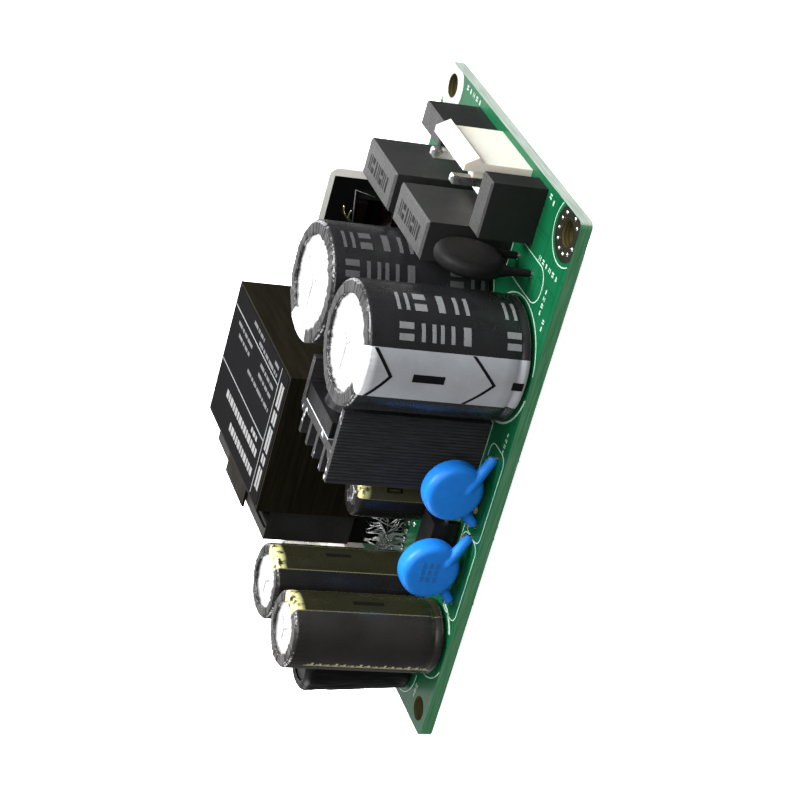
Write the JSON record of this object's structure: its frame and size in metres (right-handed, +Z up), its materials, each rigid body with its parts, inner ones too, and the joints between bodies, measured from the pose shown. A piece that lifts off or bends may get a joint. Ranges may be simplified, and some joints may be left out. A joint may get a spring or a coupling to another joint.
{
  "type": "open frame power supply",
  "caption": "Open frame AC to DC power supply: a 3 by 2 inch green board with corner holes, mains header, bulk and output capacitors, heat sink and transformer.",
  "frame": {"origin": "centre of the four mounting holes, on the underside of the board", "axes": "+X along the board's length from the mains inlet end to the output end, +Y across the board from the choke and transformer edge to the Y capacitor edge, +Z up through the tall parts"},
  "size_m": [0.0762, 0.0508, 0.0252],
  "materials": {
    "board_laminate": "green solder mask, satin gloss",
    "tinned_metal": "bright tin",
    "ivory_nylon": "moulded, slightly translucent look",
    "grey_case": "fine grained moulded case",
    "black_moulding": "moulded epoxy, slight sheen",
    "black_coating": "dipped coating",
    "black_bobbin": "moulded phenolic",
    "ferrite": "ground ferrite",
    "copper_wire": "enamelled winding wire",
    "bulk_sleeve": "shrunk black sleeve with a grey stripe",
    "output_sleeve": "shrunk black sleeve with an olive gold stripe",
    "choke_sleeve": "shrunk tubing",
    "aluminium_can": "bright can top",
    "rubber_seal": "moulded rubber",
    "black_anodised": "black anodised extrusion with worn bright edges",
    "thermal_pad": "soft insulating pad",
    "zinc_screw": "zinc plated",
    "transformer_tape": "brown black insulating film",
    "label_film": "printed film",
    "blue_epoxy": "dipped epoxy",
    "resistor_chip": "glazed chip with tin ends",
    "capacitor_chip": "fired chip with tin ends"
  },
  "bodies": {
    "root": {"circuit_board": "board_laminate", "solder_joints": "tinned_metal", "inlet_header_housing": "ivory_nylon", "inlet_header_posts": "tinned_metal", "line_fuse_body": "grey_case", "neutral_fuse_body": "grey_case", "fuse_leads": "tinned_metal", "x_capacitor_1_case": "grey_case", "x_capacitor_2_case": "grey_case", "x_capacitor_leads": "tinned_metal", "inrush_thermistor_disc": "black_coating", "inrush_thermistor_leads": "tinned_metal", "choke_frame": "ivory_nylon", "choke_core": "ferrite", "choke_bobbin": "black_bobbin", "choke_windings": "copper_wire", "choke_pins": "tinned_metal", "bridge_rectifier_body": "black_moulding", "bridge_rectifier_leads": "tinned_metal", "bulk_capacitor_1_can": "aluminium_can", "bulk_capacitor_1_sleeve": "bulk_sleeve", "bulk_capacitor_2_can": "aluminium_can", "bulk_capacitor_2_sleeve": "bulk_sleeve", "bias_capacitor_can": "aluminium_can", "bias_capacitor_sleeve": "output_sleeve", "output_capacitor_1_can": "aluminium_can", "output_capacitor_1_sleeve": "output_sleeve", "output_capacitor_2_can": "aluminium_can", "output_capacitor_2_sleeve": "output_sleeve", "capacitor_seals": "rubber_seal", "capacitor_leads": "tinned_metal", "heat_sink": "black_anodised", "heat_sink_pins": "tinned_metal", "transistor_body": "black_moulding", "transistor_leads": "tinned_metal", "transistor_pad": "thermal_pad", "transistor_screw": "zinc_screw", "transformer_core_inlet_half": "ferrite", "transformer_core_output_half": "ferrite", "transformer_bobbin": "black_bobbin", "transformer_winding": "copper_wire", "transformer_wrap": "transformer_tape", "transformer_label": "label_film", "transformer_pins": "tinned_metal", "transformer_lead_wires": "tinned_metal", "y_capacitor_1_disc": "blue_epoxy", "y_capacitor_2_disc": "blue_epoxy", "y_capacitor_leads": "tinned_metal", "optocoupler_body": "black_moulding", "optocoupler_leads": "tinned_metal", "output_choke_core": "ferrite", "output_choke_winding": "copper_wire", "output_choke_sleeve": "choke_sleeve", "output_connector_housing": "ivory_nylon", "output_connector_posts": "tinned_metal", "controller_body": "black_moulding", "controller_leads": "tinned_metal", "output_rectifier": "black_moulding", "chip_resistors": "resistor_chip", "chip_capacitors": "capacitor_chip"}
  },
  "joints": []
}
